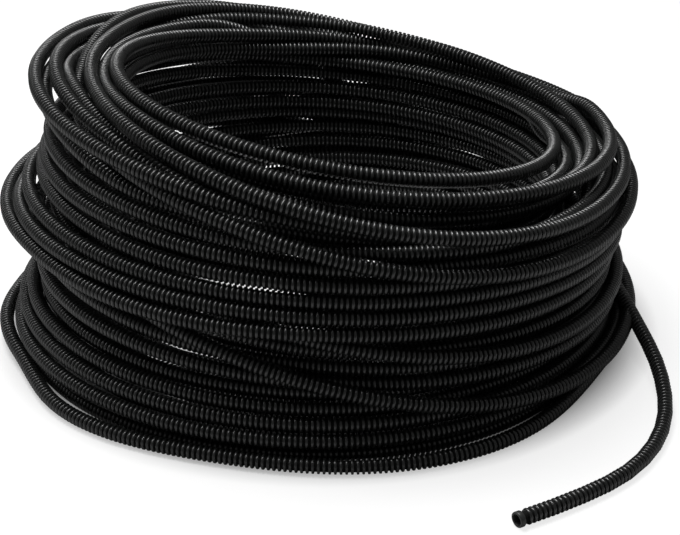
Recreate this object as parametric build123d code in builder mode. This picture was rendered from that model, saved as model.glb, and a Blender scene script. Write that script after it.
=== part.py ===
"""Flexible conduit, sold as a loose ring of ribbed conduit with one free end.

Millimetres. +Z is up and z = 0 is the floor that the ring lies on.
The origin is the middle of the whole outline, at the floor.
The ring leans towards +X and a little to the back, +Y. Its free end comes round the
+X side to the front, -Y.
"""

import os
from math import pi, radians, tan

from build123d import *

os.makedirs("parts", exist_ok=True)

# Conduit: bore and outside over the ribs
conduit_od = 10.0
conduit_wall = 1.5
conduit_bore = conduit_od - 2 * conduit_wall

# Coil, measured square to its own leaning axis
coil_radius = 223.0
wound_depth = 71.0
eye_radius = coil_radius - wound_depth
coil_height = 172.0
lean = 9.0
lean_heading = 15.0
coil_x = -7.6
coil_y = 30.6

# Turns, as they show on the wound faces
turn_pitch = 1.2 * conduit_od
groove_depth = 0.3 * conduit_od

# Foot: how far the section runs on below the floor before the floor cuts it
foot_depth = coil_radius * tan(radians(lean)) + groove_depth
eye_start = eye_radius * tan(radians(lean)) + 0.1 * conduit_od
eye_flare = 0.6 * conduit_od

# The coil's own frame at the floor, turned to the side that it leans to and then leaned
coil_frame = Location((coil_x, coil_y, 0), (0, 0, lean_heading)) * Rotation(0, lean, 0)
coil_axis = Axis(coil_frame.position, Plane(coil_frame).z_dir)
section_plane = Plane(coil_frame * Rotation(90, 0, 0))

# Free end, from inside the outermost turns to the cut end in front.
# x is measured from the coil's outside on the +X side, y from its axis, z from the floor.
arc_share = 0.45
floor_line = conduit_od / 2
free_end_points = [
    (-32, 56, 38),
    (-11, 2, 30),
    (2.5, -56, 21),
    (10, -114, 13),
    (6.5, -171, floor_line),
    (-20, -224, floor_line),
    (-65, -259.6, floor_line),
    (-100.5, -281.5, floor_line),
]


def wound_wall():
    """The wound face over the crests: up the outside, over the crown, to the eye."""
    return Spline(
        (coil_radius - 4, -foot_depth),
        (coil_radius - 1, 0),
        (coil_radius, 0.20 * coil_height),
        (coil_radius - conduit_od, 0.45 * coil_height),
        (coil_radius - 6, 0.68 * coil_height),
        (coil_radius - 18, 0.88 * coil_height),
        (coil_radius - 0.55 * wound_depth, coil_height),
        (coil_radius - 0.85 * wound_depth, 0.98 * coil_height),
        (eye_radius + 2, 0.92 * coil_height),
    )


def turned_outline(wall):
    """The groove below each turn and its crest, one after the other along the wound face."""
    turns = round(wall.length / turn_pitch)
    outline = []
    for turn in range(turns):
        groove = turn / turns
        tangent = wall % groove
        outline.append(wall @ groove - Vector(tangent.Y, -tangent.X) * groove_depth)
        outline.append(wall @ ((turn + 0.5) / turns))
    return outline


def corner_radii(points):
    """As large an arc at each corner as its share of the shorter run allows."""
    radii = []
    for before, corner, after in zip(points, points[1:], points[2:]):
        run_in, run_out = corner - before, after - corner
        half_turn = radians(run_in.get_angle(run_out)) / 2
        radii.append(arc_share * min(run_in.length, run_out.length) / tan(half_turn))
    return radii


def straight_end(points):
    """Length of the straight stretch that the last arc leaves at the cut end."""
    last_run = (points[-1] - points[-2]).length
    run_before = (points[-2] - points[-3]).length
    return last_run - arc_share * min(last_run, run_before)


# Coil: one turned solid, flat where it lies on the floor
with BuildPart() as conduit_coil:
    with BuildSketch(section_plane):
        with BuildLine():
            with BuildLine(mode=Mode.PRIVATE):
                wall = wound_wall()
            Polyline(
                *turned_outline(wall),
                (eye_radius, (wall @ 1).Y),
                (eye_radius, eye_start),
                (eye_radius + eye_flare, -foot_depth),
                close=True,
            )
        make_face()
    revolve(axis=coil_axis)
    split(bisect_by=Plane.XY, keep=Keep.TOP)

# Free end: a tube along straight runs joined by tangent arcs, bored at its cut end
coil_side = Vector(coil_x + coil_radius, coil_y, 0)
route_points = [coil_side + Vector(*point) for point in free_end_points]
route_radii = corner_radii(route_points)
with BuildPart() as conduit_free_end:
    with BuildLine():
        route = FilletPolyline(*route_points, radius=route_radii)
    with BuildSketch(Plane(origin=route @ 0, z_dir=route % 0)):
        Circle(conduit_od / 2)
    sweep()
    swept_volume = conduit_free_end.part.volume
    with BuildSketch(Plane(origin=route @ 1, z_dir=route % 1)):
        Circle(conduit_bore / 2)
    extrude(amount=-straight_end(route_points), mode=Mode.SUBTRACT)

print("free end radii", [round(radius, 1) for radius in route_radii])
print("free end length", round(route.length, 1))
section_area = pi * conduit_od**2 / 4
print("free end volume ratio", round(swept_volume / (section_area * route.length), 5))

conduit_coil.part.label = "conduit_coil"
conduit_free_end.part.label = "conduit_free_end"
export_step(conduit_coil.part, "parts/conduit_coil.step")
export_step(conduit_free_end.part, "parts/conduit_free_end.step")
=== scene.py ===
"""Looks of the flexible conduit: a loose ring of ribbed conduit with one open cut end.

Metres, in the same frame as the solids: +Z is up and the floor is at z = 0.
The winding is worked out in millimetres and then scaled.
"""

import math

import bpy
import numpy as np
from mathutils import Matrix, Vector


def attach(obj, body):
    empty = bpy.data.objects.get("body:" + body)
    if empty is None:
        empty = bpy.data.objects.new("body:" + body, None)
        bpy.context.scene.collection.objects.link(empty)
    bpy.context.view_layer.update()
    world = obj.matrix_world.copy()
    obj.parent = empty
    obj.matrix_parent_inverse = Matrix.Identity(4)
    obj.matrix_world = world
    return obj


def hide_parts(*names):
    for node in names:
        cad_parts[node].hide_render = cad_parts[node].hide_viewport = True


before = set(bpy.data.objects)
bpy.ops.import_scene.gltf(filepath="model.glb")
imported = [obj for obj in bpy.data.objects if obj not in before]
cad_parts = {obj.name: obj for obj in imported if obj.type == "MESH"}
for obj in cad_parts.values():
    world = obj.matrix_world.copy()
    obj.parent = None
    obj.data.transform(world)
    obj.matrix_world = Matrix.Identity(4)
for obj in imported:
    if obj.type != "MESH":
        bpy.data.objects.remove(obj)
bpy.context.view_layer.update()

# Conduit, in metres: over its ribs, its bore, the ribs and the groove between them
OD = 0.010
BORE = 0.007
CREST_RADIUS = OD / 2
GROOVE_RADIUS = 0.0038
RIB_FOOT_RADIUS = 0.0036
RIB_PITCH = 0.0034

# Free end: points of its route from inside the outer turns to the cut, up to 2.2 mm
# from those of its solid
FREE_END = [
    (0.1834, 0.0866, 0.038),
    (0.2044, 0.0326, 0.030),
    (0.2158, -0.0254, 0.021),
    (0.2250, -0.0834, 0.013),
    (0.2206, -0.1404, 0.005),
    (0.1944, -0.1944, 0.005),
    (0.1504, -0.2312, 0.005),
    (0.1149, -0.2520, 0.005),
]


# Camera

CAMERA_PLACE = (0.0124, -1.13395, 0.57670)
CAMERA_LOOKS_DOWN = 24.97
LENS = 95.3


def make_camera():
    data = bpy.data.cameras.new("camera")
    data.sensor_width = 36.0
    data.lens = LENS
    data.clip_start = 0.05
    data.clip_end = 50.0
    camera = bpy.data.objects.new("camera", data)
    camera.location = CAMERA_PLACE
    camera.rotation_euler = (math.radians(90 - CAMERA_LOOKS_DOWN), 0, 0)
    bpy.context.scene.collection.objects.link(camera)
    bpy.context.scene.camera = camera


make_camera()


# Winding: where each turn lies, in millimetres and degrees

CENTRE = (-0.6, 30.6)
DIAMETER = 10.0
STATIONS = 48  # points a turn

# Each turn runs into the next over the rest of its length from this share on
BLEND_FROM = 0.70
# Stations over which the last turn is led to the free end
LEAD = 8

# Slow random drift: its seed, its reach up and out, and how many knots it has a turn
SEED = 3
DRIFT_UP = 2.0
DRIFT_OUT = 2.2
DRIFT_KNOTS = 3

# How much firmness takes from a turn's drift, and from its share of a push
DRIFT_HELD = 0.8
PUSH_HELD = 0.85

# Settling: rounds of pushing turns apart, the distance they keep in diameters, and
# the share of a push made in each round. Then the pull back to the plan, the share of
# the rounds that it lasts, and how much of each bump is evened out in it and after it.
ROUNDS = 400
KEPT_DISTANCE = 1.01
PUSH = 0.84
PULL = 0.012
PULL_LASTS = 0.75
EVEN_PULLED = 0.5
EVEN_AFTER = 0.15


def smooth_step(low, high, value):
    share = np.clip((value - low) / (high - low), 0, 1)
    return share * share * (3 - 2 * share)


def winding_plan():
    """One row a turn, in the order they were wound, and the bends in single turns.

    radius and height are means over the turn. The height drops by drop towards the side
    that heading points to, in degrees, and rises as much on the other side; steep
    gathers that change at front and back. shift moves a turn to the right, and
    oval narrows it from side to side. firm turns stay where they are, and the others
    make room for them.

    A bend moves the turn written before it outwards and upwards near one azimuth, and
    fades out over its width. Azimuths run from +X, the right, over +Y, the back.
    """
    turns = []
    bends = []

    def turn(
        radius, height, drop=0.0, heading=0.0, shift=0.0, oval=0.0, steep=0.0, firm=0.0
    ):
        turns.append((radius, height, drop, heading, shift, oval, steep, firm))

    def bend(azimuth, width, outwards, upwards=0.0):
        bends.append((len(turns) - 1, azimuth, width, outwards, upwards))

    # Under the others, on the floor
    turn(185, 5.5, 0, 0, 1)
    # Deep inside the winding
    turn(190, 49, 4, 0, 3)
    turn(180, 68, 12, 0, 6)
    turn(182, 98, 12, -20, 5)
    turn(184, 117, 18, -20, 8)
    bend(122, 20, 0, 4)
    # The crown, laid from the outside in
    turn(186, 142, 40, 0, 2)
    turn(195.5, 151, 38, -3, 4, firm=1)
    bend(147, 15, 1, 3)
    turn(186, 141, 50, -4, 10, firm=1)
    turn(173, 153, 29, 5, 5)
    turn(167, 154, 23, 10, 21)
    turn(157, 149, 25, 12, 18)
    bend(35, 40, -6, -6)
    turn(173, 163, 24, 8, 25, firm=1)
    bend(12, 30, -1, -1)
    bend(225, 25, 0, 3.5)
    # Up the wall of the eye, which bulges in and out
    for step in range(12):
        height = 6 + 12.5 * step
        share = height / 150
        bulge = 4 * math.sin(2 * math.pi * height / 70)
        turn(160 + bulge, height, 30 * share**1.5, 14, 8 * share, firm=0.4)
    turn(150, 161, 30, 19, 11, firm=1)
    # Two turns that cross the upper half, from the eye on the left to the outside on
    # the right
    turn(190, 157, 35, 4, 28, 10, 0.12, firm=1)
    bend(45, 35, -4, -5)
    bend(5, 35, -1, 1)
    bend(100, 20, 0, -2)
    turn(197, 148, 42, -11, 24, 8, 0.12, firm=1)
    bend(118, 24, 0, -7)
    bend(45, 35, -4, -5)
    bend(350, 30, -2)
    # Down the outside of the upper half
    turn(196, 133, 17, 22, 8, 4, firm=0.5)
    turn(199, 121, 16, 28, 7, 4, firm=0.5)
    turn(202, 112, 14, 32, 5, 4, firm=0.5)
    bend(245, 30, 0, -3.2)
    bend(100, 24, 0, 3)
    turn(204, 102, 14, 32, 1, 3, firm=0.6)
    bend(235, 25, 0, -2.1)
    turn(208, 93, 14, 25, -3, 2, firm=0.6)
    bend(165, 22, -4, -4)
    turn(209, 84, 14, 2, -8, 0, firm=1)
    bend(212, 16, -4)
    bend(276, 22, 0, 1.6)
    # Two turns of the lower half, and then the two that cross it
    turn(203, 74, 20, 0, 2, 4, firm=0.5)
    bend(252, 16, 0, 3.5)
    turn(202, 61, 17, 15, 2, 4, firm=0.5)
    turn(198, 78, 32, 3, 16, 8, 0.12, firm=1)
    turn(205, 62, 45, -10, 18.5, 6, 0.1, firm=1)
    # Down the outside of the lower half
    turn(203, 44.5, 17, 32, 3, 5, firm=0.5)
    turn(204, 29.5, 10, 32, 0, 3, firm=0.6)
    bend(310, 35, -4)
    turn(209, 22, 7, 30, -1, 2, firm=0.7)
    bend(315, 35, -4)
    turn(213, 16.5, 4, 30, -2, 1, firm=0.8)
    bend(168, 20, -5)
    bend(325, 35, -7)
    turn(212, 5.2, 0, 0, -2, 0, firm=0.9)
    bend(332, 24, -10)
    # The outermost turn on the floor
    turn(220, 5.2, 0, 0, -2, 0, firm=1)
    bend(165, 20, -5, 4)
    bend(190, 14, 1, 5)
    bend(206, 10, -7)
    bend(228, 18, 4)
    bend(253, 16, -3)
    bend(290, 24, 7)
    bend(332, 20, -12)
    # The last turn, which leads into the free end
    turn(197, 40.5, 4, 0, -2, 4, firm=0.5)
    return np.array(turns), bends


def drift(rng, knots, count, reach):
    """A slow random drift along the conduit."""
    values = rng.normal(size=knots)
    places = np.linspace(0, knots - 1, count)
    low = np.minimum(places.astype(int), knots - 2)
    share = smooth_step(0, 1, places - low)
    return reach * (values[low] * (1 - share) + values[low + 1] * share)


def planned_places():
    """Angle of every station, its radius and height as planned, and its firmness."""
    rng = np.random.default_rng(SEED)
    plan, bends = winding_plan()
    turns = len(plan)
    count = turns * STATIONS
    end = np.array(FREE_END[0]) * 1000
    end_angle = math.atan2(end[1] - CENTRE[1], end[0] - CENTRE[0])
    step = np.arange(count + 1)
    angle = end_angle + (count - step) * 2 * math.pi / STATIONS
    this = np.minimum(step // STATIONS, turns - 1)
    following = np.minimum(this + 1, turns - 1)
    across = smooth_step(BLEND_FROM, 1.0, step / STATIONS - this)[:, None]
    rows = plan[this] * (1 - across) + plan[following] * across
    radius, height, drop, heading, shift, oval, steep, firm = rows.T
    slope = np.cos(angle - np.radians(heading)) - steep * np.cos(3 * angle)
    height = height - drop * slope
    radius = radius + shift * np.cos(angle) - oval * np.cos(2 * angle)
    for row, azimuth, width, outwards, upwards in bends:
        away = (np.degrees(angle) - azimuth + 180) % 360 - 180
        near = np.exp(-((away / width) ** 2)) * (this == row)
        radius = radius + near * outwards
        height = height + near * upwards
    loose = 1 - DRIFT_HELD * firm
    knots = turns * DRIFT_KNOTS
    height = height + loose * drift(rng, knots, count + 1, DRIFT_UP)
    radius = radius + loose * drift(rng, knots, count + 1, DRIFT_OUT)
    wish = np.stack([radius, height], 1)
    last = np.array([math.hypot(end[0] - CENTRE[0], end[1] - CENTRE[1]), end[2]])
    for back in range(LEAD + 1):
        share = smooth_step(0, 1, 1 - back / LEAD)
        wish[count - back] = wish[count - back] * (1 - share) + last * share
    return angle, wish, firm


def settled_places(wish, firm):
    """Radius and height of every station once turns that lie in each other are apart.

    Each is drawn back to its planned place for most of the rounds, and its way from
    there is evened out along the conduit. They make no room for the free end.
    """
    count = len(wish) - 1
    turns = count // STATIONS
    place = wish.copy()
    own = np.arange(turns)
    ease = (1 - PUSH_HELD * firm[:count]).reshape(turns, STATIONS)
    yields = ease[:, None] / (ease[:, None] + ease[None])
    for number in range(ROUNDS):
        slices = place[:count].reshape(turns, STATIONS, 2)
        gap = slices[:, None] - slices[None]
        distance = np.sqrt((gap**2).sum(-1)) + 1e-9
        short = np.clip(DIAMETER * KEPT_DISTANCE - distance, 0, None)
        short[own, own] = 0
        push = (gap / distance[..., None] * (short * yields)[..., None]).sum(1) * PUSH
        place[:count] = (slices + push).reshape(count, 2)
        pulled = number < PULL_LASTS * ROUNDS
        if pulled:
            place += (wish - place) * PULL
        if number % 2 == 0:
            moved = place - wish
            evened = 0.5 * (moved[:-2] + moved[2:]) - moved[1:-1]
            place[1:-1] += evened * (EVEN_PULLED if pulled else EVEN_AFTER)
        place[:, 1] = np.maximum(place[:, 1], DIAMETER / 2)
        place[count] = wish[count]
        place[count - 1] = 0.5 * (place[count - 1] + wish[count - 1])
    return place


def wound_points():
    """Points along all turns, up to where the free end begins."""
    angle, wish, firm = planned_places()
    radius, height = settled_places(wish, firm).T
    return np.column_stack([
        CENTRE[0] + radius * np.cos(angle),
        CENTRE[1] + radius * np.sin(angle),
        height,
    ])[:-1] / 1000


def curve_object(name, points, resolution):
    data = bpy.data.curves.new(name, "CURVE")
    data.dimensions = "3D"
    data.resolution_u = resolution
    spline = data.splines.new("NURBS")
    spline.points.add(len(points) - 1)
    flat = np.column_stack([points, np.ones(len(points))])
    spline.points.foreach_set("co", flat.ravel())
    spline.order_u = 3
    spline.use_endpoint_u = True
    made = bpy.data.objects.new(name, data)
    bpy.context.scene.collection.objects.link(made)
    return made


def line_of(curve):
    """The curve's own line as points, read before it gets its thickness."""
    bpy.context.view_layer.update()
    graph = bpy.context.evaluated_depsgraph_get()
    mesh = bpy.data.meshes.new_from_object(curve.evaluated_get(graph))
    points = np.zeros(len(mesh.vertices) * 3)
    mesh.vertices.foreach_get("co", points)
    bpy.data.meshes.remove(mesh)
    return points.reshape(-1, 3)


RESOLUTION = 3
conduit = curve_object("conduit", np.vstack([wound_points(), FREE_END]), RESOLUTION)
line = line_of(conduit)
steps = np.linalg.norm(np.diff(line, axis=0), axis=1)
reach = np.concatenate([[0], np.cumsum(steps)])
whole_length = reach[-1]

# The line's direction is taken over this length to both sides
SIGHT = 0.004


def at(distance):
    """Points of the line at the given lengths from its start."""
    return np.column_stack([np.interp(distance, reach, line[:, k]) for k in range(3)])


def along(distance):
    """Points and unit frames of the line at the given lengths from its start."""
    tangent = at(distance + SIGHT) - at(distance - SIGHT)
    tangent /= np.linalg.norm(tangent, axis=1)[:, None]
    up = np.array([0, 0, 1.0]) - tangent * tangent[:, 2:3]
    up /= np.linalg.norm(up, axis=1)[:, None]
    return at(distance), tangent, up, np.cross(tangent, up)


def ring_faces(rings, sides):
    """Quads between each ring of points and the next."""
    side = np.arange(sides)
    following = (side + 1) % sides
    quads = []
    for ring in range(rings - 1):
        low, high = ring * sides, (ring + 1) * sides
        corners = [low + side, low + following, high + following, high + side]
        quads.append(np.stack(corners, 1))
    return np.concatenate(quads)


def mesh_object(name, vertices, faces):
    mesh = bpy.data.meshes.new(name)
    starts = np.arange(0, faces.size, faces.shape[1], dtype=np.int32)
    mesh.vertices.add(len(vertices))
    mesh.vertices.foreach_set("co", vertices.astype(np.float32).ravel())
    mesh.loops.add(faces.size)
    mesh.loops.foreach_set("vertex_index", faces.astype(np.int32).ravel())
    mesh.polygons.add(len(faces))
    mesh.polygons.foreach_set("loop_start", starts)
    mesh.polygons.foreach_set("use_smooth", np.full(len(faces), True))
    mesh.update(calc_edges=True)
    mesh.validate()
    made = bpy.data.objects.new(name, mesh)
    bpy.context.scene.collection.objects.link(made)
    return made


# Ribs: short rings along the conduit, in several pieces

# One rib in section: offset along the conduit in pitches, and radius
RIB_PROFILE = [
    (-0.28, RIB_FOOT_RADIUS),
    (-0.20, CREST_RADIUS),
    (0.20, CREST_RADIUS),
    (0.28, RIB_FOOT_RADIUS),
]

# First turn of each piece, and the sides of its ribs: fewer where little of them shows
ROWS = [
    ("ribs_inside", 0, 6),
    ("ribs_crown", 5, 10),
    ("ribs_eye", 12, 8),
    ("ribs_crossing", 24, 10),
    ("ribs_outside", 32, 10),
    ("ribs_foot", 38, 10),
]

# Where the cut end's own piece begins, back from the cut
CUT_START = 0.0036
LAST_RIB = int((whole_length - CUT_START) / RIB_PITCH)


def ribs_piece(name, first, last, sides):
    places = (np.arange(first, last) + 0.5) * RIB_PITCH
    turn = np.arange(sides) * 2 * math.pi / sides
    cosine = np.cos(turn)[None, :, None]
    sine = np.sin(turn)[None, :, None]
    rings = []
    for offset, radius in RIB_PROFILE:
        point, _, up, aside = along(places + offset * RIB_PITCH)
        circle = up[:, None] * cosine + aside[:, None] * sine
        rings.append(point[:, None] + radius * circle)
    vertices = np.stack(rings, 1).reshape(-1, 3)
    one = ring_faces(len(RIB_PROFILE), sides)
    starts = np.arange(last - first) * len(RIB_PROFILE) * sides
    faces = (one[None] + starts[:, None, None]).reshape(-1, 4)
    return mesh_object(name, vertices, faces)


def rib_at_row(row):
    return int(reach[row * STATIONS * RESOLUTION] / RIB_PITCH)


ends = [rib_at_row(row) for _, row, _ in ROWS[1:]] + [LAST_RIB]
pieces = [
    ribs_piece(name, rib_at_row(row), end, sides)
    for (name, row, sides), end in zip(ROWS, ends)
]


# Cut end: the wall in section, and the bore behind it

# Distance back from the cut and radius, from the last groove over the rim and down the
# bore
CUT_PROFILE = [
    (CUT_START, RIB_FOOT_RADIUS),
    (0.0030, 0.0048),
    (0.0026, CREST_RADIUS),
    (0.0004, CREST_RADIUS),
    (-0.0001, 0.0048),
    (-0.0002, 0.0044),
    (-0.0002, 0.0038),
    (0.0, 0.0036),
    (0.0004, BORE / 2),
    (0.0030, BORE / 2),
    (0.0080, BORE / 2),
    (0.0140, BORE / 2),
    (0.0220, BORE / 2),
]
CUT_SIDES = 32

# The cut isn't quite square: by how much, towards which side, and how far back
CUT_SLANT = 0.0003
SLANT_SIDE = 0.7
SLANT_DEPTH = 0.0025


def cut_end():
    turn = np.arange(CUT_SIDES) * 2 * math.pi / CUT_SIDES
    rings = []
    for back, radius in CUT_PROFILE:
        place = np.array([whole_length - max(back, 0)])
        point, tangent, up, aside = (part[0] for part in along(place))
        slant = CUT_SLANT * (1 + np.cos(turn - SLANT_SIDE)) * (back < SLANT_DEPTH)
        circle = np.cos(turn)[:, None] * up + np.sin(turn)[:, None] * aside
        forward = (max(-back, 0) + slant)[:, None] * tangent
        rings.append(point + radius * circle + forward)
    faces = ring_faces(len(CUT_PROFILE), CUT_SIDES)
    return mesh_object("cut_end", np.concatenate(rings), faces)


cut = cut_end()


# Materials

# How fine the plastic's marks are, from the clouds in its colour to its grain
CLOUDS, PATCHES, SCUFFS, GRAIN = 22, 90, 420, 2600

# What scuffs add to the roughness, and how it varies from patch to patch
SCUFFED = 0.22
SMOOTHER, ROUGHER = 0.06, 0.08

GRAIN_STRENGTH = 0.25
GRAIN_DEPTH = 0.0001


def noise(tree, coordinates, scale, detail, rough=0.5):
    made = tree.nodes.new("ShaderNodeTexNoise")
    made.inputs["Scale"].default_value = scale
    made.inputs["Detail"].default_value = detail
    made.inputs["Roughness"].default_value = rough
    tree.links.new(coordinates, made.inputs["Vector"])
    return made.outputs["Fac"]


def spread(tree, value, low, high, to_low, to_high):
    """The value's stretch from low to high, spread over another stretch."""
    made = tree.nodes.new("ShaderNodeMapRange")
    made.inputs["From Min"].default_value = low
    made.inputs["From Max"].default_value = high
    made.inputs["To Min"].default_value = to_low
    made.inputs["To Max"].default_value = to_high
    tree.links.new(value, made.inputs["Value"])
    return made.outputs["Result"]


def mixed(tree, share, first, second):
    """Two colours, each a tuple or a socket, mixed by the share of the second."""
    made = tree.nodes.new("ShaderNodeMix")
    made.data_type = "RGBA"
    tree.links.new(share, made.inputs["Factor"])
    for socket, colour in ((made.inputs["A"], first), (made.inputs["B"], second)):
        if isinstance(colour, tuple):
            socket.default_value = (*colour, 1)
        else:
            tree.links.new(colour, socket)
    return made.outputs["Result"]


def black_plastic(name, dark, light, scuff, rough, specular):
    """Black plastic with cloudy colour, fine scuffs, paler and duller, and a grain."""
    material = bpy.data.materials.new(name)
    material.use_nodes = True
    tree = material.node_tree
    shader = tree.nodes["Principled BSDF"]
    place = tree.nodes.new("ShaderNodeTexCoord").outputs["Object"]
    clouds = spread(tree, noise(tree, place, CLOUDS, 3), 0.3, 0.7, 0, 1)
    scuffs = spread(tree, noise(tree, place, SCUFFS, 6, 0.7), 0.60, 0.78, 0, 1)
    grain = noise(tree, place, GRAIN, 3)
    colour = mixed(tree, clouds, dark, light)
    tree.links.new(mixed(tree, scuffs, colour, scuff), shader.inputs["Base Color"])
    patches = noise(tree, place, PATCHES, 4)
    patchy = spread(tree, patches, 0.3, 0.7, rough - SMOOTHER, rough + ROUGHER)
    dull = tree.nodes.new("ShaderNodeMath")
    dull.operation = "MULTIPLY_ADD"
    tree.links.new(scuffs, dull.inputs[0])
    dull.inputs[1].default_value = SCUFFED
    tree.links.new(patchy, dull.inputs[2])
    tree.links.new(dull.outputs[0], shader.inputs["Roughness"])
    shader.inputs["Specular IOR Level"].default_value = specular
    bump = tree.nodes.new("ShaderNodeBump")
    bump.inputs["Strength"].default_value = GRAIN_STRENGTH
    bump.inputs["Distance"].default_value = GRAIN_DEPTH
    tree.links.new(grain, bump.inputs["Height"])
    tree.links.new(bump.outputs["Normal"], shader.inputs["Normal"])
    return material


rib_plastic = black_plastic(
    "rib_plastic",
    dark=(0.005, 0.0055, 0.0053),
    light=(0.011, 0.0120, 0.0115),
    scuff=(0.040, 0.042, 0.040),
    rough=0.30,
    specular=1.0,
)
# The grooves' plastic is a darker copy of the ribs' black plastic: painted shade in the
# grooves between the ribs. It also shines less and is rougher.
groove_plastic_painted_shade = black_plastic(
    "groove_plastic_painted_shade",
    dark=(0.003, 0.0032, 0.0031),
    light=(0.006, 0.0064, 0.0061),
    scuff=(0.010, 0.011, 0.010),
    rough=0.75,
    specular=0.15,
)
# The cut end's plastic is a paler copy of the same black plastic: painted light on the
# cut rim, which also lightens the last rib and the bore of that piece.
cut_plastic_painted_light = black_plastic(
    "cut_plastic_painted_light",
    dark=(0.020, 0.021, 0.0205),
    light=(0.040, 0.042, 0.041),
    scuff=(0.090, 0.093, 0.090),
    rough=0.45,
    specular=0.5,
)

# The core tube forms the grooves and takes their darker plastic, the painted shade
# between the ribs.
conduit.data.bevel_depth = GROOVE_RADIUS
conduit.data.bevel_resolution = 2
conduit.data.materials.append(groove_plastic_painted_shade)
for piece in pieces:
    piece.data.materials.append(rib_plastic)
cut.data.materials.append(cut_plastic_painted_light)


# Floor and light

WHITE = (1, 1, 1, 1)

FLOOR_REACH = 6.0
FLOOR_LIT = 0.5
FLOOR_SEEN = 0.95
FLOOR_GLOW = 1.2

# The glow's share of the floor that the camera sees, and the distances from the coil's
# centre between which it comes in: under the coil the floor is only as light as what
# reaches it
GLOW_SHARE = 0.65
GLOW_FROM = 0.205
GLOW_WHOLE = 0.240

WORLD_LIGHT = 0.12
WORLD_SEEN = 1.0


def camera_sees(tree, others, camera):
    """One shader for the camera's rays and another for all others."""
    mix = tree.nodes.new("ShaderNodeMixShader")
    path = tree.nodes.new("ShaderNodeLightPath")
    tree.links.new(path.outputs["Is Camera Ray"], mix.inputs["Fac"])
    tree.links.new(others, mix.inputs[1])
    tree.links.new(camera, mix.inputs[2])
    return mix.outputs[0]


def matt(tree, value):
    made = tree.nodes.new("ShaderNodeBsdfDiffuse")
    made.inputs["Color"].default_value = (value, value, value, 1)
    return made.outputs[0]


def floor_material():
    material = bpy.data.materials.new("floor")
    material.use_nodes = True
    tree = material.node_tree
    tree.nodes.clear()
    output = tree.nodes.new("ShaderNodeOutputMaterial")
    lit = matt(tree, FLOOR_LIT)
    pale = matt(tree, FLOOR_SEEN)
    glow = tree.nodes.new("ShaderNodeEmission")
    glow.inputs["Color"].default_value = WHITE
    glow.inputs["Strength"].default_value = FLOOR_GLOW
    place = tree.nodes.new("ShaderNodeNewGeometry").outputs["Position"]
    away = tree.nodes.new("ShaderNodeVectorMath")
    away.operation = "DISTANCE"
    tree.links.new(place, away.inputs[0])
    away.inputs[1].default_value = (CENTRE[0] / 1000, CENTRE[1] / 1000, 0)
    share = spread(tree, away.outputs["Value"], GLOW_FROM, GLOW_WHOLE, 0, GLOW_SHARE)
    seen = tree.nodes.new("ShaderNodeMixShader")
    tree.links.new(share, seen.inputs["Fac"])
    tree.links.new(pale, seen.inputs[1])
    tree.links.new(glow.outputs[0], seen.inputs[2])
    surface = camera_sees(tree, lit, seen.outputs[0])
    tree.links.new(surface, output.inputs["Surface"])
    return material


def make_floor():
    mesh = bpy.data.meshes.new("floor")
    corners = [
        (-FLOOR_REACH, -FLOOR_REACH, 0),
        (FLOOR_REACH, -FLOOR_REACH, 0),
        (FLOOR_REACH, FLOOR_REACH, 0),
        (-FLOOR_REACH, FLOOR_REACH, 0),
    ]
    mesh.from_pydata(corners, [], [(0, 1, 2, 3)])
    floor = bpy.data.objects.new("floor", mesh)
    bpy.context.scene.collection.objects.link(floor)
    mesh.materials.append(floor_material())


def area_light(name, location, target, size, power):
    data = bpy.data.lights.new(name, "AREA")
    data.shape = "RECTANGLE"
    data.size, data.size_y = size
    data.energy = power
    light = bpy.data.objects.new(name, data)
    light.location = location
    way = Vector(target) - Vector(location)
    light.rotation_euler = way.to_track_quat("-Z", "Y").to_euler()
    bpy.context.scene.collection.objects.link(light)


def make_world():
    world = bpy.data.worlds.new("world")
    world.use_nodes = True
    tree = world.node_tree
    light = tree.nodes["Background"]
    white = tree.nodes.new("ShaderNodeBackground")
    for shader, strength in ((light, WORLD_LIGHT), (white, WORLD_SEEN)):
        shader.inputs["Color"].default_value = WHITE
        shader.inputs["Strength"].default_value = strength
    surface = camera_sees(tree, light.outputs[0], white.outputs[0])
    tree.links.new(surface, tree.nodes["World Output"].inputs["Surface"])
    bpy.context.scene.world = world


make_floor()
area_light("key", (-0.25, 0.25, 1.6), (0, 0, 0.1), (1.1, 0.8), 24)
area_light("left", (-1.2, 0.1, 1.1), (0, 0, 0.1), (0.5, 0.5), 3.5)
make_world()
bpy.context.scene.view_settings.view_transform = "Standard"

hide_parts("conduit_coil", "conduit_free_end")
for piece in [conduit, *pieces, cut]:
    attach(piece, "root")
